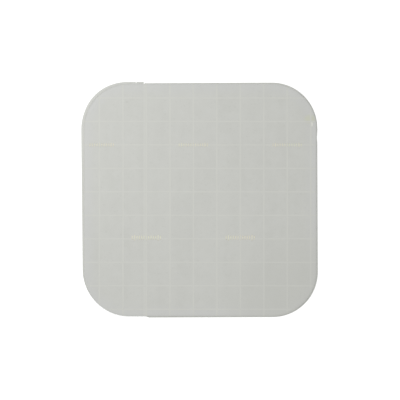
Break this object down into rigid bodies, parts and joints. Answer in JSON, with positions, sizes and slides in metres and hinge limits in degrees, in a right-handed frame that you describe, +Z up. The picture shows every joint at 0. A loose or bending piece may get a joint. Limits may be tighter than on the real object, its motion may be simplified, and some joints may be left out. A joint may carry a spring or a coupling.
{
  "type": "hydrocolloid dressing",
  "caption": "Flat square wound dressing with rounded corners: a thin film with a printed measuring grid over a soft adhesive wafer, on a split release liner with a folded lip.",
  "frame": {"origin": "middle of the underside, on the surface that the dressing lies on", "axes": "+Z up out of the film face, +X to the right away from the narrow liner strip, +Y to the top"},
  "size_m": [0.1005, 0.1005, 0.001],
  "materials": {
    "release_liner": "siliconised paper, pale grey and smooth with a dull shine",
    "adhesive_wafer": "soft translucent grey-green adhesive mass with faint mottling",
    "backing_film": "thin clear polyurethane film with a satin surface",
    "grid_ink": "thin pale yellow-white printed lines"
  },
  "bodies": {
    "root": {"release_liner_strip": "release_liner", "release_liner_wide": "release_liner", "hydrocolloid_wafer": "adhesive_wafer", "backing_film": "backing_film", "printed_grid": "grid_ink"}
  },
  "joints": []
}
